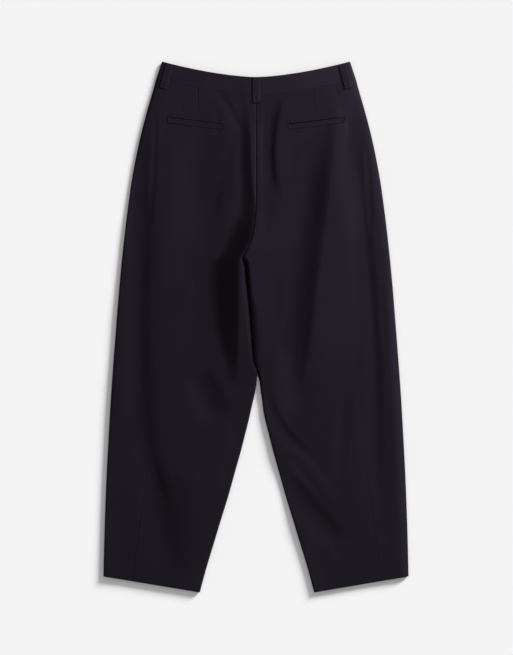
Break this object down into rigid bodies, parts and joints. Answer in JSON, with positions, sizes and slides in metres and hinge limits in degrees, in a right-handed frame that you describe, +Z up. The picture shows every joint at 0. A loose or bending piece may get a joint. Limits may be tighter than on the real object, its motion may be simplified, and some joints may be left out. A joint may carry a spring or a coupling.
{
  "type": "barrel leg trousers",
  "caption": "High-waisted barrel leg trousers in dark suiting, laid flat with the back upwards, with welt pockets, belt loops, waist darts and hem darts.",
  "frame": {"origin": "middle of the garment's outline, on the surface that it lies on", "axes": "+X to the right across the garment as seen from above, +Y from the hems to the waist, +Z up, out of the back that faces upwards"},
  "size_m": [0.6096, 1.06, 0.0164],
  "materials": {
    "suiting": "matte dark aubergine-navy twill suiting"
  },
  "bodies": {
    "root": {"back_left": "suiting", "back_right": "suiting", "front_left": "suiting", "front_right": "suiting", "waistband_back": "suiting", "waistband_front_left": "suiting", "waistband_front_right": "suiting", "belt_loop_centre": "suiting", "belt_loop_left": "suiting", "belt_loop_right": "suiting", "pocket_welt_left": "suiting", "pocket_welt_right": "suiting"}
  },
  "joints": []
}
